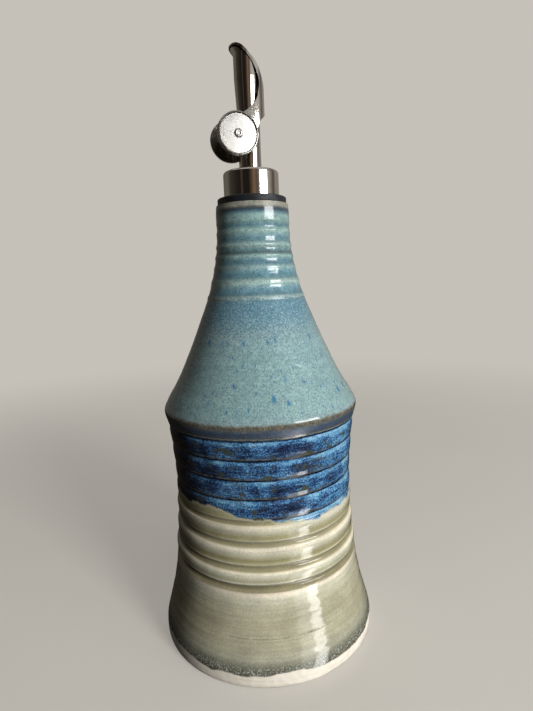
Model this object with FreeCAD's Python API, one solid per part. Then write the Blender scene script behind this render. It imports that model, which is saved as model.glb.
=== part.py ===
"""Hand-thrown stoneware oil bottle with a steel pouring spout and a weighted flap lid.

Millimetres. The origin is the middle of the foot, +Z is up, and the spout pours towards -X.
"""
import FreeCAD, Part
import math
import os

# Ceramic bottle: radii
FOOT_R = 45.2
FOOT_ROUND = 1.0
SKIRT_TOP_R = 38.8
WAIST_R = 36.9
UNDER_SHOULDER_R = 38.4
SHOULDER_R = 40.2
CONE_R = 39.0
NECK_FOOT_R = 19.8
NECK_R = 14.7
LIP_R = 13.2

# Ceramic bottle: height of each stretch, from the foot up
FOOT_BAND_H = 4.0
SKIRT_H = 34.4
RIBBED_H = 26.8
BELT_H = 31.0
SHOULDER_H = 8.0
CONE_H = 41.1
NECK_H = 32.8
LIP_H = 3.3

# How fast each flaring stretch closes in: 1 is straight, more is hollower
SKIRT_FLARE = 1.3
RIBBED_FLARE = 2.0
BELT_FLARE = 1.5
CONE_FLARE = 1.15
NECK_FLARE = 2.0
FLARE_STATIONS = 6

# Throwing lines: grooves under the belt, ledges in the belt, hollows between the neck rings
GROOVE_COUNT = 4
GROOVE_H = 1.9
GROOVE_DEPTH = 0.8
RIDGE_BULGE = 0.35
LEDGE_COUNT = 4
LEDGE_STEP = 0.45
LEDGE_H = 0.5
BAND_BULGE = 0.25
NECK_RING_GAPS = (6.2, 5.2, 4.5, 4.1, 5.5)
NECK_HOLLOW = 0.28

# Rubber stopper: the flange that shows between the lip and the collar
FLANGE_R = 13.75
FLANGE_H = 2.7
FLANGE_ROUND = 0.5

# Steel collar
COLLAR_R = 11.0
COLLAR_H = 10.2
COLLAR_ROUND = 1.2

# Steel spout: a straight pipe that widens a little and ends in a beak
PIPE_R = 4.4
PIPE_WALL = 0.5
MOUTH_SPREAD = 0.55
STRAIGHT_H = 22.4
WIDENING_H = 12.0
BEAK_RISE = 43.0
BEAK_H = 4.0
BEAK_REACH = 2.0
BEAK_SPREAD = 0.5

# Mouth of the spout, seen from the side: an upright slot, then a slant up to the beak
SLOT_RISE = 24.9
SLOT_H = 10.1
SLOT_DEPTH = 2.3
SLANT_H = 10.1
SLANT_SHARES = ((0.1, 0.2), (0.31, 0.51), (0.5, 0.7), (0.74, 0.91), (1.0, 1.0))

# Flap: one bent sheet, with a lid over the mouth, a round back and two ears
SHEET_T = 0.5
LID_OVERHANG = 0.35
BACK_REACH = 1.5
TIP_REACH = 1.55
LID_CLEARANCE = 0.3
OPEN_CLEARANCE = 0.1
CREST_RISE = 29.0
CREST_H = 16.6
CREST_SHARES = (
    (0.08, 0.22), (0.15, 0.35), (0.27, 0.55), (0.47, 0.74), (0.68, 0.91), (0.8, 0.975), (1.0, 1.0)
)
EAR_R = 4.0
EAR_NECK = 5.0

# Hinge of the flap
PIVOT_X = -0.4
PIVOT_RISE = 15.7
PIN_R = 1.0
PIN_CLEARANCE = 0.05
SEAT_CLEARANCE = 0.02
PIN_END_GAP = 0.15
PIN_INSIDE = 0.4

# Round weights on the ears, and the rivets that hold them
WEIGHT_R = 8.1
WEIGHT_T = 1.3
WEIGHT_ROUND = 0.5
WEIGHT_DISH = 0.3
WEIGHT_RIM = 1.0
WEIGHT_REACH = 5.8
WEIGHT_DROP = 3.0
RIVET_R = 1.1
RIVET_HEAD_R = 1.75
RIVET_HEAD_H = 0.45
RIVET_DIMPLE_R = 0.8
RIVET_DIMPLE = 0.2

# Levels and sizes that follow from the ones above
BELT_Z = SKIRT_H + RIBBED_H
SHOULDER_Z = BELT_Z + BELT_H
CONE_Z = SHOULDER_Z + SHOULDER_H
NECK_Z = CONE_Z + CONE_H
LIP_Z = NECK_Z + NECK_H
FLANGE_Z = LIP_Z + LIP_H
COLLAR_Z = FLANGE_Z + FLANGE_H
COLLAR_TOP_Z = COLLAR_Z + COLLAR_H
MOUTH_R = PIPE_R + MOUTH_SPREAD
FLAP_HALF_W = MOUTH_R + LID_OVERHANG
FLAP_BACK = MOUTH_R + BACK_REACH
FLAP_TIP = -MOUTH_R - TIP_REACH
SLOT_X = MOUTH_R - SLOT_DEPTH
SLOT_Z = COLLAR_TOP_Z + SLOT_RISE
SLANT_Z = SLOT_Z + SLOT_H
CREST_Z = COLLAR_TOP_Z + CREST_RISE
PIVOT_Z = COLLAR_TOP_Z + PIVOT_RISE
WEIGHT_X = PIVOT_X - WEIGHT_REACH
WEIGHT_Z = PIVOT_Z - WEIGHT_DROP
BEYOND = 4.0

V = FreeCAD.Vector
ORIGIN = V(0, 0, 0)
UP = V(0, 0, 1)
ACROSS = V(0, 1, 0)


def at(x, z):
    """A point of the XZ plane."""
    return V(x, 0, z)


def line(a, b):
    return Part.LineSegment(a, b).toShape()


def bulged(a, b, bulge):
    """An arc from a to b that stands out to the right of the way up by bulge, or is hollow if negative."""
    run = b - a
    out = V(run.z, 0, -run.x).normalize()
    return Part.Arc(a, (a + b) * 0.5 + out * bulge, b).toShape()


def curve(points):
    """One smooth curve through the points."""
    spline = Part.BSplineCurve()
    spline.interpolate(points)
    return spline.toShape()


def flare(r_from, r_to, z_from, z_to, power):
    """A wall that closes in from r_from to r_to, fast at first and then slower."""
    points = []
    for i in range(FLARE_STATIONS + 1):
        share = i / FLARE_STATIONS
        r = r_to + (r_from - r_to) * (1 - share) ** power
        points.append(at(r, z_from + (z_to - z_from) * share))
    return curve(points)


def spun(edges):
    """A solid of revolution about Z, from the edges of half its section."""
    face = Part.Face(Part.Wire(Part.__sortEdges__(edges)))
    return face.revolve(ORIGIN, UP, 360)


def pulled(edges, half_width):
    """A solid pulled out of the XZ plane, to half_width on each side of it."""
    face = Part.Face(Part.Wire(Part.__sortEdges__(edges)))
    face.translate(ACROSS * -half_width)
    return face.extrude(ACROSS * (2 * half_width))


def ribbed_radius(z):
    share = (BELT_Z - z) / RIBBED_H
    return WAIST_R + (SKIRT_TOP_R - WAIST_R) * share ** RIBBED_FLARE


def belt_radius(z):
    share = (z - BELT_Z) / BELT_H
    return WAIST_R + (UNDER_SHOULDER_R - WAIST_R) * share ** BELT_FLARE


def ribbed_edges():
    """The hollow grooves, and the round ridges between them."""
    edges = []
    pitch = (RIBBED_H - GROOVE_H) / (GROOVE_COUNT - 1)
    for i in range(GROOVE_COUNT):
        low = SKIRT_H + i * pitch
        high = low + GROOVE_H
        foot = at(ribbed_radius(low), low)
        head = at(ribbed_radius(high), high)
        edges.append(bulged(foot, head, -GROOVE_DEPTH))
        if i < GROOVE_COUNT - 1:
            following = at(ribbed_radius(low + pitch), low + pitch)
            edges.append(bulged(head, following, RIDGE_BULGE))
    return edges


def belt_edges():
    """The glazed belt: each band ends under a small ledge, and the last ledge is the shoulder's."""
    edges = []
    band_h = BELT_H / LEDGE_COUNT
    start = at(belt_radius(BELT_Z), BELT_Z)
    for i in range(LEDGE_COUNT):
        ledge_z = BELT_Z + (i + 1) * band_h
        wall = belt_radius(ledge_z)
        under = at(wall - LEDGE_STEP / 2, ledge_z)
        over = at(wall + LEDGE_STEP / 2, ledge_z + LEDGE_H)
        edges.append(bulged(start, under, BAND_BULGE))
        edges.append(line(under, over))
        start = over
    return edges, start


def neck_edges():
    """Hollows between the rings of the neck, up to its straight top."""
    rings_h = sum(NECK_RING_GAPS)
    edges = []
    z = NECK_Z
    last = at(NECK_FOOT_R, NECK_Z)
    for gap in NECK_RING_GAPS:
        z += gap
        share = (z - NECK_Z) / rings_h
        ring = at(NECK_R + (NECK_FOOT_R - NECK_R) * (1 - share) ** NECK_FLARE, z)
        edges.append(bulged(last, ring, -NECK_HOLLOW))
        last = ring
    edges.append(line(last, at(NECK_R, LIP_Z)))
    return edges


def bottle():
    """The ceramic body, one piece from its bare foot to its round lip."""
    foot_edge = FOOT_ROUND * (1 - math.sqrt(0.5))
    edges = [
        line(at(0, 0), at(FOOT_R - FOOT_ROUND, 0)),
        Part.Arc(
            at(FOOT_R - FOOT_ROUND, 0), at(FOOT_R - foot_edge, foot_edge), at(FOOT_R, FOOT_ROUND)
        ).toShape(),
        line(at(FOOT_R, FOOT_ROUND), at(FOOT_R, FOOT_BAND_H)),
        flare(FOOT_R, SKIRT_TOP_R, FOOT_BAND_H, SKIRT_H, SKIRT_FLARE),
    ]
    edges += ribbed_edges()
    belt, shoulder_foot = belt_edges()
    edges += belt
    nose = at(SHOULDER_R, SHOULDER_Z + SHOULDER_H * 0.57)
    edges.append(Part.Arc(shoulder_foot, nose, at(CONE_R, CONE_Z)).toShape())
    edges.append(flare(CONE_R, NECK_FOOT_R, CONE_Z, NECK_Z, CONE_FLARE))
    edges += neck_edges()
    edges.append(bulged(at(NECK_R, LIP_Z), at(LIP_R, FLANGE_Z), LIP_H * 0.15))
    edges.append(line(at(LIP_R, FLANGE_Z), at(0, FLANGE_Z)))
    edges.append(line(at(0, FLANGE_Z), at(0, 0)))
    return spun(edges)


def stopper():
    """The rubber flange that lies on the lip."""
    disc = Part.makeCylinder(FLANGE_R, FLANGE_H, at(0, FLANGE_Z))
    rims = [e for e in disc.Edges if e.Curve.TypeId == "Part::GeomCircle"]
    return disc.makeFillet(FLANGE_ROUND, rims)


def collar():
    """The steel collar, with its rounded top edge."""
    block = Part.makeCylinder(COLLAR_R, COLLAR_H, at(0, COLLAR_Z))
    top = [
        e for e in block.Edges
        if e.Curve.TypeId == "Part::GeomCircle" and e.CenterOfMass.z > COLLAR_Z + COLLAR_H / 2
    ]
    return block.makeFillet(COLLAR_ROUND, top)


def ring(radius, x, z):
    return Part.Wire(Part.Circle(at(x, z), UP, radius).toShape())


def pipe(inset):
    """The spout's round outside, or its bore when inset by the wall. It stands on the collar."""
    foot_z = COLLAR_TOP_Z
    widening_z = COLLAR_TOP_Z + STRAIGHT_H
    even_z = widening_z + WIDENING_H
    beak_z = COLLAR_TOP_Z + BEAK_RISE
    edges = [
        line(at(0, foot_z), at(PIPE_R - inset, foot_z)),
        line(at(PIPE_R - inset, foot_z), at(PIPE_R - inset, widening_z)),
        line(at(PIPE_R - inset, widening_z), at(MOUTH_R - inset, even_z)),
        line(at(MOUTH_R - inset, even_z), at(MOUTH_R - inset, beak_z)),
        line(at(MOUTH_R - inset, beak_z), at(0, beak_z)),
        line(at(0, beak_z), at(0, foot_z)),
    ]
    low = ring(MOUTH_R - inset, 0, beak_z)
    high = ring(MOUTH_R + BEAK_SPREAD - inset, -BEAK_REACH, beak_z + BEAK_H)
    return spun(edges).fuse(Part.makeLoft([low, high], True, True))


def mouth_points(down):
    """The side view of the mouth's edge, from the foot of the slot up to the beak."""
    points = [at(SLOT_X, SLOT_Z + SLOT_H * 0.35 - down), at(SLOT_X, SLANT_Z - down)]
    for across, up in SLANT_SHARES:
        points.append(at(SLOT_X + (FLAP_TIP - SLOT_X) * across, SLANT_Z + SLANT_H * up - down))
    return points


def ear_top_points():
    """The side view of the ears' upper edge, from the slot down to the weight."""
    slot_foot = mouth_points(0)[0]
    return [
        slot_foot,
        at(SLOT_X - 0.4, SLOT_Z + SLOT_H * 0.16),
        at(PIVOT_X + 1.7, SLOT_Z),
        at(PIVOT_X - 3.1, PIVOT_Z + EAR_NECK),
        at(WEIGHT_X - EAR_R * 0.7, WEIGHT_Z + EAR_R * 0.72),
    ]


def mouth_cut():
    """What is cut off the spout: all that lies behind and above the edge of its mouth."""
    points = mouth_points(LID_CLEARANCE)
    foot = at(FLAP_BACK + BEYOND, points[0].z - SLOT_H * 0.3)
    corner_z = SLANT_Z + SLANT_H + BEYOND
    tip = at(FLAP_TIP - BEYOND, points[-1].z)
    edges = [
        curve(points),
        line(points[-1], tip),
        line(tip, at(tip.x, corner_z)),
        line(at(tip.x, corner_z), at(foot.x, corner_z)),
        line(at(foot.x, corner_z), foot),
        line(foot, points[0]),
    ]
    return pulled(edges, FLAP_HALF_W + BEYOND)


def spout():
    """The thin-walled spout, cut open at its mouth and drilled for the two hinge pins."""
    tube = pipe(0).cut(pipe(PIPE_WALL)).cut(mouth_cut())
    return tube.cut(cross_pin(PIN_R + SEAT_CLEARANCE, -FLAP_HALF_W, FLAP_HALF_W, PIVOT_X, PIVOT_Z))


def cross_pin(radius, y_from, y_to, x, z):
    return Part.makeCylinder(radius, y_to - y_from, V(x, y_from, z), ACROSS)


def plan_block(half_width, back, tip, z_from, z_to):
    """An upright block with a half-round back and, where tip is given, a half-round front."""
    centre = back - half_width
    block = Part.makeCylinder(half_width, z_to - z_from, at(centre, z_from))
    if tip is None:
        front = WEIGHT_X - EAR_R - BEYOND
    else:
        front = tip + half_width
        block = block.fuse(Part.makeCylinder(half_width, z_to - z_from, at(front, z_from)))
    box = Part.makeBox(centre - front, 2 * half_width, z_to - z_from, V(front, -half_width, z_from))
    return block.fuse(box).removeSplitter()


def crest_points(inset):
    """The side view of the flap's back and lid, from its foot up and over to the beak."""
    start = at(FLAP_BACK + 0.05, CREST_Z)
    points = [at(FLAP_BACK + 0.8, CREST_Z - SLOT_H * 0.5), start]
    end = at(FLAP_TIP - 0.5, CREST_Z + CREST_H)
    for across, up in CREST_SHARES:
        points.append(at(start.x + (end.x - start.x) * across, start.z + CREST_H * up))
    drop = inset * math.sqrt(0.5)
    return [p - at(drop, drop) for p in points]


def flap_outline():
    """The side view of the whole flap."""
    crest = crest_points(0)
    mouth = mouth_points(0)
    ear_top = ear_top_points()
    ear_low = at(WEIGHT_X + EAR_R * 0.3, WEIGHT_Z - EAR_R * 0.954)
    under = [
        ear_low,
        at(PIVOT_X - 0.6, PIVOT_Z - EAR_NECK + 0.8),
        at(PIVOT_X + 2.25, PIVOT_Z - 0.3),
        at(PIVOT_X + 3.6, PIVOT_Z + 2.3),
        at(FLAP_BACK - 1.1, PIVOT_Z + PIPE_R + OPEN_CLEARANCE),
        at(crest[0].x, PIVOT_Z + 7.0),
    ]
    beyond_tip = at(crest[-1].x, mouth[-1].z)
    return [
        curve(crest),
        line(crest[-1], beyond_tip),
        line(beyond_tip, mouth[-1]),
        curve(mouth),
        curve(ear_top),
        Part.Arc(ear_top[-1], at(WEIGHT_X - EAR_R, WEIGHT_Z), ear_low).toShape(),
        curve(under),
        line(under[-1], crest[0]),
    ]


def lid_hollow():
    """The space under the lid's top sheet, in side view, without end below."""
    crest = crest_points(SHEET_T)
    floor_z = COLLAR_TOP_Z - BEYOND
    edges = [
        curve(crest),
        line(crest[-1], at(crest[-1].x - BEYOND, crest[-1].z)),
        line(at(crest[-1].x - BEYOND, crest[-1].z), at(crest[-1].x - BEYOND, floor_z)),
        line(at(crest[-1].x - BEYOND, floor_z), at(crest[0].x, floor_z)),
        line(at(crest[0].x, floor_z), crest[0]),
    ]
    return pulled(edges, FLAP_HALF_W + BEYOND)


def flap():
    """The bent sheet: solid blocks give its outside and its inside, and the side view trims them."""
    low_z = COLLAR_TOP_Z
    join_z = SLOT_Z - 1.0
    high_z = CREST_Z + CREST_H + BEYOND
    inner = FLAP_HALF_W - SHEET_T
    inner_back = FLAP_BACK - SHEET_T
    side = pulled(flap_outline(), FLAP_HALF_W + 1)
    ears = plan_block(FLAP_HALF_W, FLAP_BACK, None, low_z, join_z)
    ears = ears.cut(plan_block(inner, inner_back, None, low_z, join_z))
    lid = plan_block(FLAP_HALF_W, FLAP_BACK, FLAP_TIP, join_z, high_z)
    hollow = plan_block(inner, inner_back, FLAP_TIP + SHEET_T, join_z, high_z)
    lid = lid.cut(hollow.common(lid_hollow()))
    sheet = ears.common(side).fuse(lid.common(side)).removeSplitter()
    width = FLAP_HALF_W + 1
    sheet = sheet.cut(cross_pin(PIN_R + PIN_CLEARANCE, -width, width, PIVOT_X, PIVOT_Z))
    return sheet.cut(cross_pin(RIVET_R + SEAT_CLEARANCE, -width, width, WEIGHT_X, WEIGHT_Z))


def hinge_pin():
    """The front hinge pin, set in the spout's wall and reaching into the front ear."""
    inner = PIPE_R - PIPE_WALL - PIN_INSIDE
    return cross_pin(PIN_R, -FLAP_HALF_W + PIN_END_GAP, -inner, PIVOT_X, PIVOT_Z)


def turned(section):
    """A solid turned about the weights' axis. Each section point is radius, height over the ear."""
    wire = Part.Wire(Part.__sortEdges__(section))
    body = Part.Face(wire).revolve(ORIGIN, UP, 360)
    body.rotate(ORIGIN, V(1, 0, 0), 90)
    body.translate(V(WEIGHT_X, -FLAP_HALF_W, WEIGHT_Z))
    return body


def weight():
    """The front weight: a disc with a rounded rim, a dished face and a hole for its rivet."""
    hole = RIVET_R + SEAT_CLEARANCE
    face = WEIGHT_T - WEIGHT_DISH
    corner = WEIGHT_ROUND * (1 - math.sqrt(0.5))
    return turned([
        line(at(hole, 0), at(WEIGHT_R, 0)),
        line(at(WEIGHT_R, 0), at(WEIGHT_R, WEIGHT_T - WEIGHT_ROUND)),
        Part.Arc(
            at(WEIGHT_R, WEIGHT_T - WEIGHT_ROUND),
            at(WEIGHT_R - corner, WEIGHT_T - corner),
            at(WEIGHT_R - WEIGHT_ROUND, WEIGHT_T),
        ).toShape(),
        line(at(WEIGHT_R - WEIGHT_ROUND, WEIGHT_T), at(WEIGHT_R - WEIGHT_RIM, face)),
        line(at(WEIGHT_R - WEIGHT_RIM, face), at(hole, face)),
        line(at(hole, face), at(hole, 0)),
    ])


def rivet():
    """The front rivet: its shank fills the ear and the weight, and its round head shows."""
    face = WEIGHT_T - WEIGHT_DISH
    top = face + RIVET_HEAD_H
    dimple_floor_r = RIVET_DIMPLE_R - RIVET_DIMPLE
    return turned([
        line(at(0, -SHEET_T), at(RIVET_R, -SHEET_T)),
        line(at(RIVET_R, -SHEET_T), at(RIVET_R, face)),
        line(at(RIVET_R, face), at(RIVET_HEAD_R, face)),
        bulged(at(RIVET_HEAD_R, face), at(RIVET_DIMPLE_R, top), RIVET_HEAD_H * 0.45),
        line(at(RIVET_DIMPLE_R, top), at(dimple_floor_r, top - RIVET_DIMPLE)),
        line(at(dimple_floor_r, top - RIVET_DIMPLE), at(0, top - RIVET_DIMPLE)),
        line(at(0, top - RIVET_DIMPLE), at(0, -SHEET_T)),
    ])


def save(shape, name):
    """One solid, one file."""
    solids = shape.Solids
    if len(solids) != 1 or not solids[0].isValid():
        raise ValueError(f"{name} is not one sound solid: {len(solids)} solids")
    solids[0].exportStep(f"parts/{name}.step")


def save_pair(shape, name):
    """A front piece on the -Y side, and its mirror image at the back."""
    save(shape, f"{name}_front")
    save(shape.mirror(ORIGIN, ACROSS), f"{name}_back")


os.makedirs("parts", exist_ok=True)
save(bottle(), "bottle")
save(stopper(), "stopper")
save(collar(), "collar")
save(spout(), "spout")
save(flap(), "flap")
save_pair(hinge_pin(), "hinge_pin")
save_pair(weight(), "weight")
save_pair(rivet(), "rivet")
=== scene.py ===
import math

import bpy
import numpy as np
from mathutils import Matrix, Vector


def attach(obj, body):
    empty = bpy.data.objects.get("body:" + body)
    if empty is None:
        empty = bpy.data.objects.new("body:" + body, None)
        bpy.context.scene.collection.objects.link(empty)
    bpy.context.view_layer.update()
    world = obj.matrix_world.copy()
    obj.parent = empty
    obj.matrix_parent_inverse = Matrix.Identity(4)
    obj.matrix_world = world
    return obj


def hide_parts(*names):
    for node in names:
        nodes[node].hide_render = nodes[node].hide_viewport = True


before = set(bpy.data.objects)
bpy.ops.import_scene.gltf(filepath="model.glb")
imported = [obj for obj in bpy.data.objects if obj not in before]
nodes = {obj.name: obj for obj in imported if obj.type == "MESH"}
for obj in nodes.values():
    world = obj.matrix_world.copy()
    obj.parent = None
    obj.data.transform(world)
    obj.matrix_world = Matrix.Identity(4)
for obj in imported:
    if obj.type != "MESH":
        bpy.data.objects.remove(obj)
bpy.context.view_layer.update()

MM = 0.001
TURN = math.radians(-108.0)  # direction, seen from above, from the bottle's axis to the camera
FRONT = (math.cos(TURN), math.sin(TURN), 0.0)
RIGHT = (-math.sin(TURN), math.cos(TURN), 0.0)
PALE = (0.56, 0.535, 0.485, 1)


# ---------------------------------------------------------------- material nodes


class Graph:
    """A material being made out of nodes."""

    def __init__(self, name):
        self.mat = bpy.data.materials.new(name)
        self.mat.use_nodes = True
        self.tree = self.mat.node_tree
        self.shader = self.tree.nodes["Principled BSDF"]
        self.out = self.tree.nodes["Material Output"]

    def put(self, socket, value):
        if isinstance(value, bpy.types.NodeSocket):
            self.tree.links.new(value, socket)
        elif isinstance(value, tuple) and len(value) == 3 and socket.type == "RGBA":
            socket.default_value = (*value, 1)
        else:
            socket.default_value = value

    def add(self, kind, inputs=(), **settings):
        made = self.tree.nodes.new("ShaderNode" + kind)
        for key, value in settings.items():
            setattr(made, key, value)
        for key, value in dict(inputs).items():
            self.put(made.inputs[key], value)
        return made

    def math(self, operation, a, b=0.0, clamp=False):
        return self.add("Math", {0: a, 1: b}, operation=operation, use_clamp=clamp).outputs[0]

    def vector(self, operation, a, b):
        made = self.add("VectorMath", {0: a, 1: b}, operation=operation)
        return made.outputs["Value" if operation == "DOT_PRODUCT" else "Vector"]

    def step(self, value, low, high, to_low=0.0, to_high=1.0):
        """A soft step from to_low to to_high while value goes from low to high."""
        inputs = {0: value, 1: low, 2: high, 3: to_low, 4: to_high}
        return self.add("MapRange", inputs, interpolation_type="SMOOTHSTEP").outputs[0]

    def between(self, value, low, low_end, high, high_end):
        """1 inside a stretch of value and 0 outside it, with soft ends."""
        rise, fall = self.step(value, low, low_end), self.step(value, high, high_end, 1.0, 0.0)
        return self.math("MULTIPLY", rise, fall)

    def mix(self, share, a, b):
        return self.add("Mix", {0: share, 6: a, 7: b}, data_type="RGBA").outputs[2]

    def tint(self, colour, value):
        """The colour made lighter or darker by a value near 1."""
        made = self.add("Mix", {0: 1.0, 6: colour, 7: value}, data_type="RGBA", blend_type="MULTIPLY")
        return made.outputs[2]

    def millimetres(self):
        """The object's own coordinates, in millimetres."""
        return self.vector("MULTIPLY", self.add("TexCoord").outputs["Object"], (1000, 1000, 1000))

    def around(self, place):
        """Direction round the axis in radians: 0 on the camera's side, positive to its right."""
        to_front = self.vector("DOT_PRODUCT", place, FRONT)
        to_right = self.vector("DOT_PRODUCT", place, RIGHT)
        return self.math("ARCTAN2", to_right, to_front)

    def noise(self, place, scale, detail=3.0, rough=0.5, distort=0.0):
        inputs = {"Vector": place, "Scale": scale, "Detail": detail, "Roughness": rough}
        inputs["Distortion"] = distort
        return self.add("TexNoise", inputs).outputs[0]

    def bands(self, value, stops):
        """A colour for each height: stops are (height, colour), from low to high."""
        low, high = stops[0][0], stops[-1][0]
        share = self.add("MapRange", {0: value, 1: low, 2: high}).outputs[0]
        made = self.add("ValToRGB", {0: share})
        elements = made.color_ramp.elements
        elements.remove(elements[0])
        elements[0].position = 0.0
        elements[0].color = (*stops[0][1], 1)
        for height, colour in stops[1:]:
            element = elements.new((height - low) / (high - low))
            element.color = (*colour, 1)
        return made.outputs[0]

    def relief(self, height, depth, strength=1.0):
        made = self.add("Bump", {"Height": height, "Distance": depth, "Strength": strength})
        self.put(self.shader.inputs["Normal"], made.outputs[0])


# ---------------------------------------------------------------- the bottle's shape

# Heights, radii and depths in millimetres. A groove is (height, half its height, depth).
RIM = 177.4
WIDEST = 45.19
FOOT_ROUND = 0.9
ROUND_STEPS = 400
GROOVES = ((35.75, 1.5, 0.95), (43.05, 1.4, 0.7), (52.2, 1.35, 0.75), (60.5, 1.25, 0.7))
LEDGE_TOP = 92.2
LEDGE_GAP = 7.6
LEDGES = [LEDGE_TOP - LEDGE_GAP * i for i in range(4)]
LEDGE_DEPTH = 0.5
BAND_SWELL = 0.2
RIDGES_AT = ((37.2, 41.7), (44.4, 50.9), (53.5, 59.3))
RIDGE_SWELL = 0.9
HOLLOW_DEPTH = 0.14
RINGS = (141.7, 147.8, 153.2, 157.4, 161.5, 166.8)
HOLLOWS = (144.4, 150.1, 155.1, 159.3, 163.6, 168.6)
OUTLINE = (  # (height, radius)
    (0, 44.9), (3, 45.15), (5, 45.0), (8, 44.35), (12, 43.2), (16, 42.1), (20, 41.1), (24, 40.3),
    (28, 39.6), (32, 39.1), (36, 38.7), (40, 38.4), (44, 37.8), (48, 37.5), (52, 37.15), (60, 37.0),
    (68, 37.0), (72, 37.1), (76, 37.4), (80, 37.7), (84, 38.0), (88, 38.4), (92.2, 39.0),
    (95.2, 39.85), (96.6, 40.1), (97.6, 40.07), (98.5, 39.78), (99.6, 39.2), (101.4, 38.25),
    (103.8, 36.9), (106, 35.4), (111, 32.7), (116, 30.35), (121, 28.1), (125.7, 26.05), (130.7, 24.0),
    (135.5, 22.05), (140.4, 20.1), (145.2, 18.6), (150, 17.3), (155, 16.2), (159.8, 15.4),
    (164.5, 14.95), (168, 14.75), (173.5, 14.7), (176, 14.55), (177.4, 14.3),
)


def heights():
    """Heights of the rings of vertices: close together wherever the outline turns sharply."""
    fine = [np.arange(0, RIM, 0.55), np.arange(33.6, 37.8, 0.14), np.arange(41.2, 44.8, 0.14)]
    fine += [np.arange(50.4, 54.0, 0.14), np.arange(59.0, 62.2, 0.14)]
    fine += [np.arange(z - 1.6, z + 0.9, 0.12) for z in LEDGES]
    fine += [np.arange(94, 100, 0.25), np.arange(139, RIM, 0.25), np.arange(173.6, RIM, 0.12)]
    levels = np.unique(np.round(np.concatenate(fine), 3))
    keep = [levels[0]]
    for level in levels[1:]:
        if level - keep[-1] > 0.09:
            keep.append(level)
    return np.array([*keep, RIM])


def outline(level):
    """Radius in mm at a height, without the marks of the potter's fingers."""
    grid = np.arange(-6, 184, 0.1)
    high, wide = np.array(OUTLINE).T
    radius = np.interp(grid, high, wide)
    window = np.hanning(27)
    radius = np.convolve(radius, window / window.sum(), mode="same")
    return np.interp(level, grid, radius)


def lens(level, middle, half):
    return np.clip(1 - ((level - middle) / half) ** 2, 0, 1)


def finger_marks(level, around):
    """What grooves, ledges and rings add to the radius, in mm."""
    add = np.zeros(np.broadcast(level, around).shape)
    for number, (middle, half, depth) in enumerate(GROOVES):
        waver = 0.12 * np.sin(2 * around + 1.7 * number) + 0.08 * np.sin(5 * around + number)
        add -= depth * lens(level, middle + waver, half) ** 0.8
    for low, high in RIDGES_AT:
        place = np.clip((level - low) / (high - low), 0, 1)
        add += RIDGE_SWELL * np.sqrt(place) * (1 - place ** 6) * (0.35 + 0.4 * place)
    for number, ledge in enumerate(LEDGES):
        waver = 0.14 * np.sin(3 * around + number) + 0.1 * np.sin(7 * around + 2.1 * number)
        below = ledge + waver - level
        under = np.where(below > 0, np.exp(-np.clip(below - 0.25, 0, None) / 2.2), 0)
        under *= np.clip(below / 0.25, 0, 1)
        add -= LEDGE_DEPTH * under
        add += BAND_SWELL * lens(level, ledge - 4.6, 2.8)
    for number, (ring, hollow) in enumerate(zip(RINGS, HOLLOWS)):
        add += (0.1 if number else 0.14) * lens(level, ring, 1.0)
        add -= HOLLOW_DEPTH * lens(level, hollow, 1.9)
    return add


def slow_noise(values, seed, step):
    """Smooth seeded noise between -1 and 1 along a line, with a knot every step."""
    knots = np.random.default_rng(seed).uniform(-1, 1, 400)
    place = np.asarray(values) / step + 20
    base = np.floor(place).astype(int)
    share = place - base
    share = share * share * (3 - 2 * share)
    return knots[base] * (1 - share) + knots[base + 1] * share


def glaze_edge(around):
    """Height in mm where the blue glaze stops running down, by direction from the camera side."""
    seen = np.radians([-180, -110, -65, -46, -30, -19, -6, 8, 20, 36, 64, 120, 180])
    height = [62.5, 63.8, 64.9, 65.1, 65.6, 63.7, 62.1, 60.3, 59.6, 59.0, 59.4, 61.0, 62.5]
    edge = np.interp(around, seen, height)
    for count, size, shift in ((9, 0.35, 0.4), (17, 0.28, 2.0), (31, 0.2, 1.1), (53, 0.12, 0.3)):
        edge = edge + size * np.sin(count * around + shift)
    return edge


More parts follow.
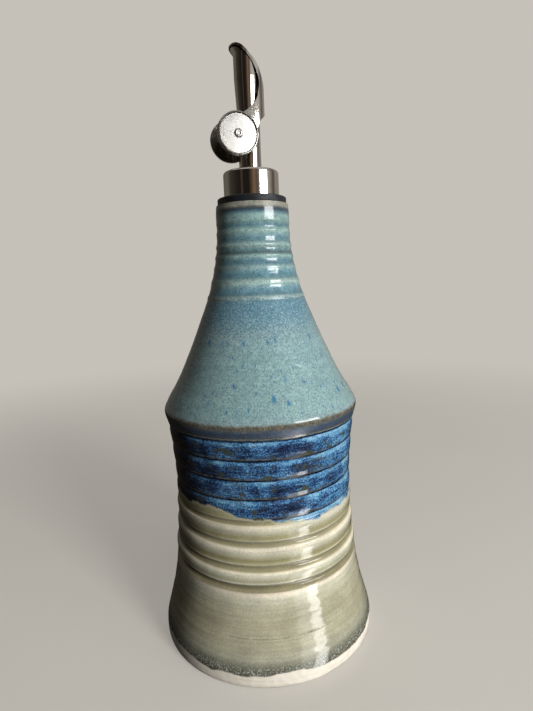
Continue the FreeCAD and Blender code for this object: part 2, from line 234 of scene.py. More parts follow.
def lathe_bottle():
    """The thrown bottle as one closed mesh, with its nominal height and glaze run stored on it."""
    levels = heights()
    count = ROUND_STEPS
    around = (np.arange(count) / count * 2 - 1) * math.pi
    level, turn = np.meshgrid(levels, around, indexing="ij")
    radius = outline(level) + finger_marks(level, turn)
    # Faint throwing lines, and a slightly oval body
    rings = 0.05 * slow_noise(levels, 3, 1.3) + 0.05 * slow_noise(levels, 5, 3.1)
    soft = np.clip(levels / 8, 0, 1) * np.clip((176 - levels) / 6, 0, 1)
    radius += (rings * soft)[:, None] * (1 + 0.4 * np.sin(turn + 0.6 * level))
    radius += 0.09 * np.sin(2 * turn + 0.8) * soft[:, None]
    radius = np.minimum(radius, WIDEST)
    foot = np.clip(levels / FOOT_ROUND, 0, 1)
    radius -= (FOOT_ROUND * (1 - np.sqrt(1 - (1 - foot) ** 2)))[:, None]
    # The throwing marks climb a little round the bottle
    rise = 0.22 * np.sin(turn + 0.5) * np.clip((level - 10) / 20, 0, 1)
    height = level + rise * np.clip((150 - level) / 30, 0, 1)
    angle = turn + TURN
    place = np.stack([radius * np.cos(angle), radius * np.sin(angle), height], -1) * MM
    rows = len(levels)
    verts = place.reshape(-1, 3)
    verts = np.vstack([verts, [[0, 0, 0], [0, 0, levels[-1] * MM]]])
    i, j = np.meshgrid(np.arange(rows - 1), np.arange(count), indexing="ij")
    i, j = i.ravel(), j.ravel()
    k = (j + 1) % count
    quads = np.stack([i * count + j, i * count + k, (i + 1) * count + k, (i + 1) * count + j], -1)
    ring = np.arange(count)
    beyond = (ring + 1) % count
    top = (rows - 1) * count
    foot_fan = np.stack([np.full(count, rows * count), beyond, ring], -1)
    top_fan = np.stack([np.full(count, rows * count + 1), top + ring, top + beyond], -1)
    mesh = bpy.data.meshes.new("stoneware_bottle")
    mesh.from_pydata(verts.tolist(), [], quads.tolist() + foot_fan.tolist() + top_fan.tolist())
    smooth = np.ones(len(mesh.polygons), bool)
    smooth[len(quads):] = False
    mesh.polygons.foreach_set("use_smooth", smooth)
    store(mesh, "level", np.append(level.ravel(), [0, levels[-1]]))
    store(mesh, "run", np.append((level - glaze_edge(turn)).ravel(), [-60, 110]))
    mesh.update()
    made = bpy.data.objects.new("stoneware_bottle", mesh)
    bpy.context.scene.collection.objects.link(made)
    return made


def store(mesh, name, values):
    mesh.attributes.new(name, "FLOAT", "POINT").data.foreach_set("value", values.astype(np.float32))


# ---------------------------------------------------------------- materials

# Glaze colours by height in mm, linear. The sponge's own colours go by how thick it lies, 0 to 1;
# painted shade and light are added to that value by direction round the bottle and under each ledge.
RIDGES_FROM = 41.67
SCRATCH_AT = 18.5
SKIRT = (
    (5.0, (0.11, 0.10, 0.065)), (6.6, (0.12, 0.12, 0.082)), (8.2, (0.20, 0.20, 0.15)),
    (10.5, (0.39, 0.385, 0.295)), (14.0, (0.40, 0.385, 0.275)), (22.0, (0.39, 0.37, 0.26)),
    (28.0, (0.45, 0.44, 0.32)), (31.5, (0.55, 0.54, 0.42)), (33.2, (0.76, 0.70, 0.57)),
    (33.85, (0.74, 0.66, 0.52)), (34.15, (0.30, 0.27, 0.17)), (35.2, (0.22, 0.20, 0.12)),
    (35.9, (0.18, 0.17, 0.10)), (36.5, (0.27, 0.26, 0.19)), (37.0, (0.48, 0.48, 0.38)),
    (37.5, (0.62, 0.61, 0.50)), (38.1, (0.42, 0.41, 0.28)), (39.0, (0.43, 0.425, 0.30)),
    (40.3, (0.58, 0.57, 0.45)), (41.3, (0.78, 0.73, 0.59)), (41.7, (0.62, 0.56, 0.41)),
)
RIDGES = (
    (41.65, (0.62, 0.56, 0.41)), (41.95, (0.33, 0.30, 0.18)), (42.9, (0.25, 0.235, 0.145)),
    (43.4, (0.20, 0.19, 0.12)), (44.0, (0.32, 0.30, 0.19)), (44.5, (0.64, 0.61, 0.47)),
    (45.1, (0.36, 0.34, 0.20)), (46.2, (0.29, 0.265, 0.14)), (48.2, (0.46, 0.45, 0.34)),
    (50.4, (0.77, 0.71, 0.58)), (50.85, (0.66, 0.60, 0.46)), (51.15, (0.33, 0.30, 0.19)),
    (52.0, (0.27, 0.25, 0.16)), (52.5, (0.23, 0.215, 0.14)), (53.0, (0.32, 0.31, 0.22)),
    (53.5, (0.65, 0.63, 0.50)), (54.1, (0.36, 0.34, 0.20)), (55.0, (0.32, 0.295, 0.16)),
    (56.8, (0.45, 0.44, 0.33)), (58.9, (0.66, 0.62, 0.50)), (59.3, (0.60, 0.54, 0.40)),
    (59.6, (0.32, 0.29, 0.17)), (60.6, (0.26, 0.24, 0.15)), (61.1, (0.28, 0.265, 0.17)),
    (61.6, (0.50, 0.48, 0.35)), (62.2, (0.40, 0.375, 0.23)), (63.0, (0.35, 0.33, 0.19)),
    (66.5, (0.35, 0.33, 0.19)),
)
SPONGED = (
    (0.30, (0.006, 0.010, 0.022)), (0.42, (0.014, 0.028, 0.070)), (0.49, (0.028, 0.062, 0.155)),
    (0.55, (0.045, 0.14, 0.31)), (0.63, (0.085, 0.27, 0.46)), (0.76, (0.28, 0.48, 0.62)),
)
# Painted shadow: the first 0.4 mm under each ledge is made dark, as under its overhang; the rest
# follows the sponge's own thickness
SPONGE_AND_LEDGE_SHADOW = (  # by mm below a ledge
    (0.0, -0.24), (0.4, -0.26), (0.65, 0.06), (1.1, 0.13), (1.7, 0.08), (2.6, 0.0),
    (4.0, -0.05), (5.4, -0.03), (6.4, -0.01), (7.0, -0.10), (7.6, -0.24),
)
# Painted shade and light: the belt is made darker to the left of the camera's side and lighter to its
# right
PAINTED_SHADE_BY_TURN = (  # by direction round the bottle, in radians
    (-3.15, 0.0), (-2.2, 0.0), (-1.1, -0.20), (-0.4, 0.0),
    (0.2, 0.0), (0.9, 0.085), (2.4, 0.0), (3.15, 0.0),
)
CONE = (
    (92.2, (0.0174, 0.0348, 0.0522)), (92.6, (0.0522, 0.0696, 0.087)), (92.9, (0.217, 0.217, 0.183)),
    (93.2, (0.0609, 0.074, 0.087)), (94.3, (0.0478, 0.078, 0.13)), (95.6, (0.0566, 0.096, 0.16)),
    (96.4, (0.087, 0.1, 0.104)), (97.0, (0.087, 0.0783, 0.0609)), (97.6, (0.0957, 0.087, 0.0696)),
    (98.0, (0.185, 0.235, 0.228)), (98.8, (0.262, 0.372, 0.385)), (101.0, (0.244, 0.374, 0.379)),
    (120.0, (0.237, 0.365, 0.375)), (128.0, (0.243, 0.355, 0.369)), (134.0, (0.208, 0.336, 0.385)),
    (139.0, (0.19, 0.32, 0.389)), (140.2, (0.211, 0.33, 0.369)), (141.0, (0.287, 0.383, 0.375)),
    (141.6, (0.295, 0.376, 0.362)), (142.3, (0.144, 0.244, 0.256)),
)
NECK = (
    (142.2, (0.144, 0.239, 0.256)), (143.0, (0.128, 0.244, 0.29)), (144.6, (0.173, 0.329, 0.392)),
    (146.0, (0.293, 0.455, 0.458)), (147.0, (0.418, 0.57, 0.524)), (147.8, (0.343, 0.481, 0.434)),
    (148.8, (0.155, 0.267, 0.285)), (150.2, (0.124, 0.267, 0.317)), (151.4, (0.178, 0.331, 0.378)),
    (152.8, (0.32, 0.468, 0.448)), (154.2, (0.128, 0.23, 0.262)), (155.4, (0.133, 0.254, 0.31)),
    (157.0, (0.343, 0.518, 0.478)), (158.3, (0.079, 0.121, 0.117)), (159.6, (0.155, 0.264, 0.273)),
    (161.3, (0.368, 0.518, 0.465)), (162.6, (0.183, 0.298, 0.319)), (163.6, (0.121, 0.25, 0.287)),
    (165.0, (0.218, 0.364, 0.39)), (166.6, (0.343, 0.494, 0.441)), (168.5, (0.12, 0.243, 0.281)),
    (170.4, (0.248, 0.383, 0.353)), (172.3, (0.308, 0.468, 0.441)), (173.8, (0.0715, 0.14, 0.181)),
    (174.5, (0.0433, 0.049, 0.0577)), (175.3, (0.13, 0.127, 0.103)), (176.0, (0.335, 0.326, 0.251)),
    (177.4, (0.307, 0.289, 0.226)),
)


def glaze():
    """Celadon glaze over cobalt over olive, on buff clay left bare at the foot."""
    g = Graph("glaze")
    place = g.millimetres()
    level = g.add("Attribute", attribute_name="level").outputs["Fac"]
    run = g.add("Attribute", attribute_name="run").outputs["Fac"]
    around = g.around(place)
    flat = g.add("CombineXYZ", {0: g.math("MULTIPLY", around, 36.0), 1: level}).outputs[0]

    wide = g.noise(place, 0.11, 3.0)
    middle = g.noise(place, 0.45, 4.0, 0.6)
    fine = g.noise(place, 1.7, 3.0, 0.65)
    tiny = g.noise(place, 4.5, 2.0, 0.6)
    streak = g.noise(g.vector("MULTIPLY", place, (1, 1, 0.7)), 0.5, 5.0, 0.65, 0.4)
    throwing = g.noise(g.vector("MULTIPLY", place, (0.03, 0.03, 1)), 0.9, 4.0, 0.6)

    # Heights with a little stir, so that no band of colour ends in a clean line
    stir = g.math("MULTIPLY", g.math("SUBTRACT", middle, 0.5), 1.1)
    stirred = g.math("ADD", level, stir)
    crisp = g.math("ADD", level, g.math("MULTIPLY", g.math("SUBTRACT", fine, 0.5), 0.45))

    # Olive skirt and ridges
    on_ridges = g.math("GREATER_THAN", crisp, RIDGES_FROM)
    olive = g.mix(on_ridges, g.bands(crisp, SKIRT), g.bands(crisp, RIDGES))
    olive = g.tint(olive, g.step(wide, 0.3, 0.7, 0.88, 1.1))
    olive = g.tint(olive, g.step(throwing, 0.3, 0.7, 0.90, 1.08))
    olive = g.tint(olive, g.step(fine, 0.25, 0.75, 0.84, 1.14))
    olive = g.tint(olive, g.step(tiny, 0.28, 0.48, 0.84, 1.02))
    frost = g.between(level, 4.6, 5.4, 6.4, 9.0)
    frost = g.math("MULTIPLY", frost, g.step(fine, 0.50, 0.62))
    olive = g.mix(g.math("MULTIPLY", frost, 0.6), olive, (0.55, 0.60, 0.60))
    mark = g.math("ADD", level, g.math("COSINE", g.math("ADD", around, -0.1)))
    scratch = g.step(g.math("ABSOLUTE", g.math("SUBTRACT", mark, SCRATCH_AT)), 0.0, 0.32, 1.0, 0.0)
    scratch = g.math("MULTIPLY", scratch, g.step(g.math("ABSOLUTE", around), 0.35, 0.7, 1.0, 0.0))
    scratch = g.math("MULTIPLY", scratch, g.step(middle, 0.42, 0.56))
    olive = g.mix(g.math("MULTIPLY", scratch, 0.6), olive, (0.12, 0.12, 0.09))

    # Cobalt belt: sponged blues, brightest just below each ledge, though the first 0.4 mm under it is
    # painted shadow; painted shade on the left and painted light on the right
    fall = g.math("SUBTRACT", LEDGE_TOP, g.math("ADD", level, g.math("MULTIPLY", stir, 0.3)))
    below = g.math("FLOORED_MODULO", fall, LEDGE_GAP)
    # This value carries the painted shadow under each ledge as well as the sponge's thickness
    grey = [(height, (bias + 0.5,) * 3) for height, bias in SPONGE_AND_LEDGE_SHADOW]
    bias = g.math("SUBTRACT", g.bands(below, grey), 0.5)
    smear = g.noise(g.vector("MULTIPLY", place, (0.22, 0.22, 1.6)), 0.9, 4.0, 0.65)
    sponge = g.math("ADD", g.math("MULTIPLY", fine, 0.42), g.math("MULTIPLY", smear, 0.28))
    sponge = g.math("ADD", sponge, g.math("MULTIPLY", tiny, 0.30))
    sponge = g.math("ADD", g.math("MULTIPLY", g.math("SUBTRACT", sponge, 0.5), 1.75), 0.5)
    sponge = g.math("ADD", sponge, bias)
    sponge = g.math("ADD", sponge, g.step(wide, 0.35, 0.65, -0.08, 0.06))
    # Painted shade and light by direction round the bottle: darker on the left, lighter on the right
    turn = [(angle, (share + 0.5,) * 3) for angle, share in PAINTED_SHADE_BY_TURN]
    sponge = g.math("ADD", sponge, g.math("SUBTRACT", g.bands(around, turn), 0.5))
    blue = g.bands(sponge, SPONGED)
    crest = g.between(below, 6.5, 6.8, 7.15, 7.4)
    crest = g.math("MULTIPLY", crest, g.step(middle, 0.38, 0.6, 0.08, 0.6))
    blue = g.mix(crest, blue, (0.155, 0.165, 0.14))
    lilac = g.math("MULTIPLY", g.step(wide, 0.5, 0.66), g.step(middle, 0.5, 0.66))
    blue = g.mix(g.math("MULTIPLY", lilac, 0.2), blue, (0.20, 0.24, 0.36))
    patch_place = g.vector("MULTIPLY", place, (1, 1, 1.7))
    patch = g.step(g.noise(patch_place, 0.17, 4.0, 0.65, 0.5), 0.555, 0.62)
    patch = g.math("MULTIPLY", patch, g.step(below, 0.6, 4.0, 0.3, 0.9))
    blue = g.mix(patch, blue, (0.050, 0.054, 0.032))

    ragged = g.math("ADD", run, g.math("MULTIPLY", g.math("SUBTRACT", streak, 0.5), 2.2))
    ragged = g.math("ADD", ragged, g.math("MULTIPLY", g.math("SUBTRACT", fine, 0.5), 1.5))
    fringe = g.between(ragged, -1.6, -0.5, -0.4, 0.3)
    low = g.mix(g.math("MULTIPLY", fringe, 0.55), olive, (0.50, 0.50, 0.38))
    colour = g.mix(g.step(ragged, -0.3, 0.5), low, blue)

    # Shoulder band and cone
    cone = g.bands(stirred, CONE)
    nose = g.between(stirred, 95.0, 96.2, 97.4, 98.4)
    ticks = g.noise(g.vector("MULTIPLY", place, (1, 1, 0.35)), 1.6, 3.0, 0.7)
    tick = g.math("MULTIPLY", nose, g.step(ticks, 0.44, 0.62, 0.0, 0.85))
    cone = g.mix(tick, cone, (0.19, 0.17, 0.12))
    band = g.between(level, 93.1, 93.7, 96.4, 97.0)
    brown = g.math("MULTIPLY", band, g.step(ticks, 0.46, 0.62, 0.0, 0.55))
    cone = g.mix(brown, cone, (0.085, 0.070, 0.055))
    violet = g.math("MULTIPLY", band, g.step(fine, 0.46, 0.6, 0.0, 0.6))
    cone = g.mix(violet, cone, (0.030, 0.045, 0.080))
    high = g.step(level, 97.0, 99.0)
    body = g.step(middle, 0.3, 0.7, 0.9, 1.1)
    cone = g.tint(cone, body)
    cone = g.tint(cone, g.step(throwing, 0.3, 0.7, 0.95, 1.05))
    dense = g.between(stirred, 122.0, 137.0, 140.0, 142.5)
    dense = g.math("MULTIPLY", dense, 0.11)
    thick, thin = g.math("ADD", fine, dense), g.math("ADD", tiny, dense)
    specks = g.math("MULTIPLY", g.step(thick, 0.46, 0.62), g.step(thin, 0.40, 0.58))
    cone = g.tint(cone, g.step(fine, 0.36, 0.62, 1.1, 0.84))
    speckled = g.math("MULTIPLY", g.math("MULTIPLY", specks, high), 0.7)
    cone = g.mix(speckled, cone, (0.045, 0.135, 0.20))
    sway = g.vector("ADD", flat, g.add("CombineXYZ", {0: g.math("MULTIPLY", middle, 3.0)}).outputs[0])
    cells = g.vector("MULTIPLY", sway, (0.24, 0.15, 1))
    spots = g.add("TexVoronoi", {"Vector": cells, "Scale": 1.0}, voronoi_dimensions="2D")
    luck = g.add("SeparateColor", {0: spots.outputs["Color"]}).outputs
    chosen = g.math("GREATER_THAN", luck[0], 0.42)
    ripple = g.math("MULTIPLY", g.math("SUBTRACT", fine, 0.5), 0.2)
    swell = g.math("MULTIPLY", g.math("POWER", luck[1], 2.0), 1.1)
    size = g.math("ADD", spots.outputs["Distance"], ripple)
    size = g.math("DIVIDE", size, g.math("ADD", 0.55, swell))
    dot = g.math("MULTIPLY", g.step(size, 0.05, 0.21, 1.0, 0.0), chosen)
    zone = g.between(level, 99.0, 101.0, 124.0, 132.0)
    zone = g.math("MULTIPLY", zone, g.step(g.math("ABSOLUTE", around), 2.8, 3.0, 1.0, 0.0))
    dot = g.math("MULTIPLY", g.math("MULTIPLY", dot, zone), g.step(luck[2], 0.0, 1.0, 0.45, 0.9))
    cone = g.mix(dot, cone, (0.022, 0.15, 0.30))
    neck = g.bands(g.math("ADD", level, g.math("MULTIPLY", stir, 0.7)), NECK)
    neck = g.tint(neck, g.step(middle, 0.3, 0.7, 0.8, 1.15))
    neck = g.tint(neck, g.step(fine, 0.3, 0.7, 0.75, 1.15))
    dots = g.math("MULTIPLY", g.step(fine, 0.47, 0.56), g.step(tiny, 0.46, 0.53))
    neck = g.mix(g.math("MULTIPLY", dots, 0.9), neck, (0.02, 0.07, 0.13))
    upper = g.mix(g.step(level, 142.1, 142.3), cone, neck)
    colour = g.mix(g.step(stirred, 92.0, 92.3), colour, upper)

    # Bare clay at the foot, under a wavy edge of glaze
    bump = g.step(g.math("ABSOLUTE", g.math("ADD", around, -0.12)), 0.02, 0.3, 1.3, 0.0)
    edge = g.math("ADD", bump, g.math("MULTIPLY", wide, 3.2))
    edge = g.math("SUBTRACT", crisp, g.math("ADD", edge, 3.3))
    clay = g.mix(g.step(middle, 0.3, 0.7), (0.76, 0.70, 0.60), (0.84, 0.80, 0.71))
    clay = g.mix(g.step(tiny, 0.3, 0.42, 0.5, 0.0), clay, (0.38, 0.30, 0.22))
    clay = g.tint(clay, g.step(throwing, 0.3, 0.7, 0.93, 1.04))
    glazed = g.step(edge, -0.25, 0.25)
    colour = g.mix(glazed, clay, colour)
    g.put(g.shader.inputs["Base Color"], colour)

    # Gloss and relief
    gloss = g.step(middle, 0.3, 0.7, 0.03, 0.08)
    dry_lip = g.step(level, 174.9, 175.4)
    gloss = g.math("ADD", gloss, g.math("MULTIPLY", dry_lip, 0.25))
    crest_line = g.between(level, 140.6, 141.2, 142.2, 142.8)
    gloss = g.math("ADD", gloss, g.math("MULTIPLY", g.math("MAXIMUM", band, crest_line), 0.3))
    rough = g.add("Mix", {0: glazed, 2: 0.86, 3: gloss}, data_type="FLOAT").outputs[0]
    g.put(g.shader.inputs["Roughness"], rough)
    skin = g.math("ADD", g.math("MULTIPLY", middle, 0.8), g.math("MULTIPLY", throwing, 0.25))
    skin = g.math("ADD", skin, g.math("MULTIPLY", fine, 0.22))
    grit = g.math("ADD", g.math("MULTIPLY", tiny, 0.5), g.math("MULTIPLY", fine, 0.5))
    height = g.add("Mix", {0: glazed, 2: grit, 3: skin}, data_type="FLOAT").outputs[0]
    height = g.math("ADD", height, g.math("MULTIPLY", glazed, 0.9))
    g.relief(height, 0.00008, 0.5)
    return g.mat


def steel(name, colour, low, high, painted_edge_shade=False):
    """Stainless steel: smudges change its gloss, and faint draw lines run round it."""
    g = Graph(name)
    place = g.millimetres()
    smudge = g.noise(place, 0.28, 4.0, 0.6)
    hair = g.noise(g.vector("MULTIPLY", place, (0.2, 0.2, 6)), 1.4, 2.0, 0.6)
    dust = g.noise(place, 5.0, 2.0, 0.6)
    shade = g.mix(g.step(smudge, 0.35, 0.7), colour, tuple(c * 0.88 for c in colour))
    rough = g.step(smudge, 0.3, 0.75, low, high)
    if painted_edge_shade:  # painted shade: the sheet's faces that turn up or down, its slanted cut edges, are painted dark and made duller
        slant = g.add("SeparateXYZ", {0: g.add("TexCoord").outputs["Normal"]}).outputs["Z"]
        edge = g.step(g.math("ABSOLUTE", slant), 0.25, 0.5)
        shade = g.mix(edge, shade, (0.035, 0.032, 0.03))
        rough = g.math("ADD", rough, g.math("MULTIPLY", edge, 0.3))
    g.put(g.shader.inputs["Base Color"], shade)
    g.put(g.shader.inputs["Roughness"], rough)
    g.shader.inputs["Metallic"].default_value = 1.0
    height = g.math("ADD", g.math("MULTIPLY", hair, 0.5), g.math("MULTIPLY", dust, 0.25))
    g.relief(height, 0.000012, 0.5)
    return g.mat


def rubber():
    """Matt black rubber, greyed by fine dust and mould texture."""
    g = Graph("stopper_rubber")
    place = g.millimetres()
    dust = g.noise(place, 3.5, 3.0, 0.6)
    wear = g.noise(place, 0.4, 3.0, 0.6)
    shade = g.mix(g.step(wear, 0.3, 0.7), (0.006, 0.007, 0.010), (0.011, 0.013, 0.018))
    shade = g.mix(g.step(dust, 0.6, 0.8, 0.0, 0.3), shade, (0.04, 0.042, 0.05))
    g.put(g.shader.inputs["Base Color"], shade)
    g.put(g.shader.inputs["Roughness"], g.step(wear, 0.3, 0.7, 0.42, 0.6))
    g.relief(dust, 0.00005, 0.5)
    return g.mat


# ---------------------------------------------------------------- pieces

bottle = lathe_bottle()
bottle.data.materials.append(glaze())
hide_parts("bottle")
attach(bottle, "bottle_body")

polished = steel("polished_steel", (0.66, 0.64, 0.605), 0.03, 0.07)
satin = steel("satin_steel", (0.45, 0.445, 0.43), 0.22, 0.38)
# True: the sheet's slanted edges get painted shade
sheet = steel("sheet_steel", (0.66, 0.64, 0.605), 0.03, 0.07, True)
buffed = steel("buffed_steel", (0.50, 0.49, 0.47), 0.06, 0.12)
black = rubber()
# What each of the pack's own pieces is made of
DRESS = {
    "stopper": black, "collar": polished, "spout": polished, "flap": sheet,
    "hinge_pin_front": polished, "hinge_pin_back": polished,
    "weight_front": satin, "rivet_front": satin, "weight_back": buffed, "rivet_back": buffed,
}
for name, finish in DRESS.items():
    data = nodes[name].data
    data.materials.clear()
    data.materials.append(finish)
    data.polygons.foreach_set("material_index", [0] * len(data.polygons))


# ---------------------------------------------------------------- floor, light and camera


def at(angle, distance, height):
    """A point by its angle from the camera's side (right is positive), in metres."""
    turn = TURN + math.radians(angle)
    return Vector((distance * math.cos(turn), distance * math.sin(turn), height))


def stage_piece(name, verts, faces, material):
    mesh = bpy.data.meshes.new(name)
    mesh.from_pydata([tuple(v) for v in verts], [], faces)
    mesh.materials.append(material)
    made = bpy.data.objects.new(name, mesh)
    bpy.context.scene.collection.objects.link(made)
    return made


def seen_rays(tree):
    """1 where the camera, a reflection or a refraction looks, and 0 for light that is scattered."""
    rays = tree.nodes.new("ShaderNodeLightPath")
    total = rays.outputs["Is Camera Ray"]
    for name in ("Is Glossy Ray", "Is Transmission Ray"):
        add = tree.nodes.new("ShaderNodeMath")
        add.operation = "ADD"
        add.use_clamp = True
        tree.links.new(total, add.inputs[0])
        tree.links.new(rays.outputs[name], add.inputs[1])
        total = add.outputs[0]
    return total


FLOOR_RADIUS = 4.0
PANE_GLOW = 14.0
GLEAM_GLOW = 11.0
GLEAM = (  # across the gleam, from its left edge (0) to its right edge (1)
    (-0.1, (0, 0, 0)), (0.0, (0.10, 0.10, 0.10)), (0.06, (0.22, 0.22, 0.215)),
    (0.50, (0.27, 0.265, 0.26)), (0.56, (0.85, 0.84, 0.82)), (0.93, (0.85, 0.84, 0.82)),
    (1.02, (0.08, 0.08, 0.08)), (1.1, (0, 0, 0)),
)
ROOM = (  # by degrees from the camera's side, positive to its right
    (-180, (0.22, 0.20, 0.17)), (-150, (0.12, 0.11, 0.09)), (-125, (0.16, 0.145, 0.115)),
    (-108, (0.14, 0.125, 0.10)), (-95, (0.06, 0.05, 0.04)), (-70, (0.035, 0.028, 0.022)),
    (-56, (0.022, 0.018, 0.014)), (-44, (0.018, 0.015, 0.012)), (-38, (0.08, 0.06, 0.045)),
    (-31, (0.018, 0.015, 0.012)), (-8, (0.018, 0.015, 0.012)), (2, (0.10, 0.07, 0.045)),
    (14, (0.26, 0.165, 0.10)), (23, (0.12, 0.085, 0.06)), (30, (0.18, 0.165, 0.15)),
    (37, (0.42, 0.41, 0.39)), (74, (0.50, 0.47, 0.42)), (90, (0.28, 0.25, 0.21)),
    (103, (0.10, 0.085, 0.07)), (120, (0.33, 0.30, 0.26)), (150, (0.30, 0.28, 0.24)),
    (180, (0.22, 0.20, 0.17)),
)


def room_material():
    """A soft picture of a room, for the steel and the glaze to reflect."""
    g = Graph("room_card")
    place = g.add("TexCoord").outputs["Object"]
    colour = g.bands(g.math("MULTIPLY", g.around(place), 180 / math.pi), ROOM)
    made = g.add("Emission", {"Color": colour, "Strength": 1.0}).outputs[0]
    g.put(g.out.inputs["Surface"], made)
    return g.mat


def floor_material():
    """Pale and matt; far from the bottle it turns into the backdrop's own tone."""
    g = Graph("floor")
    place = g.add("TexCoord").outputs["Object"]
    grain = g.noise(place, 6.0, 3.0)
    seen = seen_rays(g.tree)
    pale = g.mix(g.step(grain, 0.3, 0.7), (0.70, 0.675, 0.62), (0.73, 0.70, 0.645))
    g.put(g.shader.inputs["Base Color"], g.mix(seen, (0.10, 0.095, 0.085), pale))
    g.shader.inputs["Roughness"].default_value = 1.0
    g.shader.inputs["Specular IOR Level"].default_value = 0.0
    far = g.add("Emission", {"Color": PALE, "Strength": 1.0}).outputs[0]
    distance = g.add("VectorMath", {0: place}, operation="LENGTH").outputs["Value"]
    share = g.math("MULTIPLY", g.step(distance, 0.15, 0.75, 0.5, 1.0), seen)
    mixed = g.add("MixShader", {0: share, 1: g.shader.outputs[0], 2: far})

    # In the bottle's gloss this floor shows a painted reflection: dark, like polished wood, with a
    # painted gleam of the window on it
    around = g.math("MULTIPLY", g.around(place), 180 / math.pi)
    near = g.math("DIVIDE", 1.0, g.math("MAXIMUM", distance, 0.02))
    # The strip of gleam, in degrees round the bottle, narrows and turns towards it
    left = g.math("SUBTRACT", 33.0, g.math("MULTIPLY", near, 0.977))
    right = g.math("SUBTRACT", 64.5, g.math("MULTIPLY", near, 1.733))
    across = g.math("DIVIDE", g.math("SUBTRACT", around, left), g.math("SUBTRACT", right, left))
    gleam = g.bands(across, GLEAM)
    fade = g.step(distance, 0.138, 0.15, 1.0, 0.02)
    strength = g.math("MULTIPLY", fade, GLEAM_GLOW)
    shine = g.add("Emission", {"Color": gleam, "Strength": strength}).outputs[0]
    # A dark painted reflection, shown in the gloss in place of the pale floor
    dark_reflection = g.add("Emission", {"Color": (0.022, 0.018, 0.013, 1), "Strength": 1.0}).outputs[0]
    glint = g.add("AddShader", {0: shine, 1: dark_reflection}).outputs[0]
    rays = g.add("LightPath")
    side = g.math("MULTIPLY", g.step(distance, 0.6, 1.2, 1.0, 0.0), rays.outputs["Is Glossy Ray"])
    final = g.add("MixShader", {0: side, 1: mixed.outputs[0], 2: glint})
    g.put(g.out.inputs["Surface"], final.outputs[0])
    return g.mat


def glow(name, colour, strength):
    """A card that only gives light back in reflections."""
    g = Graph(name)
    made = g.add("Emission", {"Color": (*colour, 1), "Strength": strength}).outputs[0]
    g.put(g.out.inputs["Surface"], made)
    return g.mat


def only_in_reflections(piece):
    piece.visible_camera = False
    piece.visible_diffuse = False
    piece.visible_shadow = False
    piece.visible_transmission = False
    piece.visible_volume_scatter = False


def arc_panel(name, start, end, distance, low, high, material, steps=16):
    """A curved upright panel that stands round the bottle."""
    angles = np.linspace(start, end, steps + 1)
    verts = [at(a, distance, z) for z in (low, high) for a in angles]
    faces = [(i, i + 1, i + steps + 2, i + steps + 1) for i in range(steps)]
    return stage_piece(name, verts, faces, material)


def light(name, angle, distance, height, aim, size, power, colour):
    data = bpy.data.lights.new(name, "AREA")
    data.shape = "RECTANGLE"
    data.size, data.size_y = size
    data.energy = power
    data.color = colour
    made = bpy.data.objects.new(name, data)
    made.location = at(angle, distance, height)
    made.rotation_euler = (Vector(aim) - made.location).to_track_quat("-Z", "Y").to_euler()
    made.visible_camera = False
    bpy.context.scene.collection.objects.link(made)
    return made


ring = [at(a, FLOOR_RADIUS, 0) for a in range(0, 360, 5)]
wedges = [(0, i + 1, (i + 1) % len(ring) + 1) for i in range(len(ring))]
stage_piece("floor", [(0, 0, 0), *ring], wedges, floor_material())

room = room_material()
pane = glow("pane", (1.0, 0.99, 0.975), PANE_GLOW)
for card in (
    arc_panel("window_pane", 37, 68, 0.78, 0.25, 0.45, pane, 12),
    arc_panel("room_left", -180, 37, 0.55, 0.0, 0.8, room, 56),
    arc_panel("room_right", 74, 180, 0.55, 0.0, 0.8, room, 28),
):
    only_in_reflections(card)

for soft in (
    light("window", 55, 0.8, 0.375, (0, 0, 0.13), (0.43, 0.20), 1.1, (1.0, 0.985, 0.96)),
    light("front_fill", 38, 1.0, 0.34, (0, 0, 0.06), (0.28, 0.28), 11.8, (1.0, 0.985, 0.96)),
    light("ceiling", 42, 0.5, 0.95, (0, 0, 0.08), (0.7, 0.7), 1.5, (1.0, 0.985, 0.96)),
):
    soft.visible_glossy = False

world = bpy.data.worlds.new("room")
bpy.context.scene.world = world
world.use_nodes = True
tree = world.node_tree
seen = tree.nodes["Background"]
seen.inputs["Color"].default_value = PALE
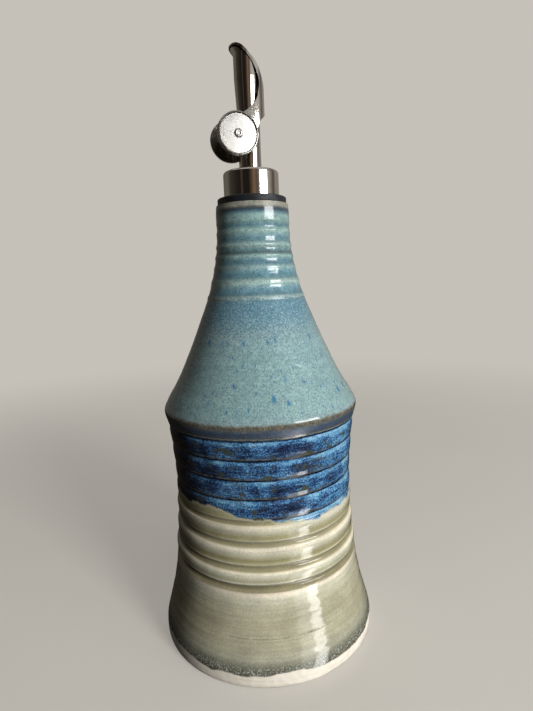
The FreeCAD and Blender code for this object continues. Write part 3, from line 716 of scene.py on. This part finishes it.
# Scattered light is faint from the camera's side and stronger from behind the bottle
fill = tree.nodes.new("ShaderNodeBackground")
way = tree.nodes.new("ShaderNodeVectorMath")
way.operation = "DOT_PRODUCT"
way.inputs[1].default_value = [-part for part in FRONT]
tree.links.new(tree.nodes.new("ShaderNodeTexCoord").outputs["Generated"], way.inputs[0])
behind = tree.nodes.new("ShaderNodeMapRange")
behind.inputs["From Min"].default_value = 0.6
behind.inputs["From Max"].default_value = 0.95
behind.inputs["To Min"].default_value = 0.022
behind.inputs["To Max"].default_value = 1.3
tree.links.new(way.outputs["Value"], behind.inputs["Value"])
tree.links.new(behind.outputs["Result"], fill.inputs["Strength"])
fill.inputs["Color"].default_value = (1.0, 0.97, 0.92, 1)
both = tree.nodes.new("ShaderNodeMixShader")
tree.links.new(seen_rays(tree), both.inputs[0])
tree.links.new(fill.outputs[0], both.inputs[1])
tree.links.new(seen.outputs[0], both.inputs[2])
tree.links.new(both.outputs[0], tree.nodes["World Output"].inputs[0])

# Camera: where it stands before the bottle, and how it is turned
CAMERA_DISTANCE = 0.19975
CAMERA_HEIGHT = 0.14767
PITCH, YAW, ROLL = math.radians(8.865), math.radians(0.984), math.radians(-2.262)

front, right, up = Vector(FRONT), Vector(RIGHT), Vector((0, 0, 1))
ahead = -front * math.cos(YAW) + right * math.sin(YAW)
side = right * math.cos(YAW) + front * math.sin(YAW)
forward = ahead * math.cos(PITCH) - up * math.sin(PITCH)
top = ahead * math.sin(PITCH) + up * math.cos(PITCH)
cam_x = side * math.cos(ROLL) + top * math.sin(ROLL)
cam_y = top * math.cos(ROLL) - side * math.sin(ROLL)
camera_data = bpy.data.cameras.new("camera")
camera_data.sensor_width = 36.0
camera_data.lens = 24.304
camera_data.clip_start = 0.01
camera = bpy.data.objects.new("camera", camera_data)
bpy.context.scene.collection.objects.link(camera)
spot = front * CAMERA_DISTANCE + up * CAMERA_HEIGHT
turned = Matrix((cam_x, cam_y, -forward)).transposed().to_4x4()
camera.matrix_world = Matrix.Translation(spot) @ turned
bpy.context.scene.camera = camera
bpy.context.scene.view_settings.view_transform = "Standard"
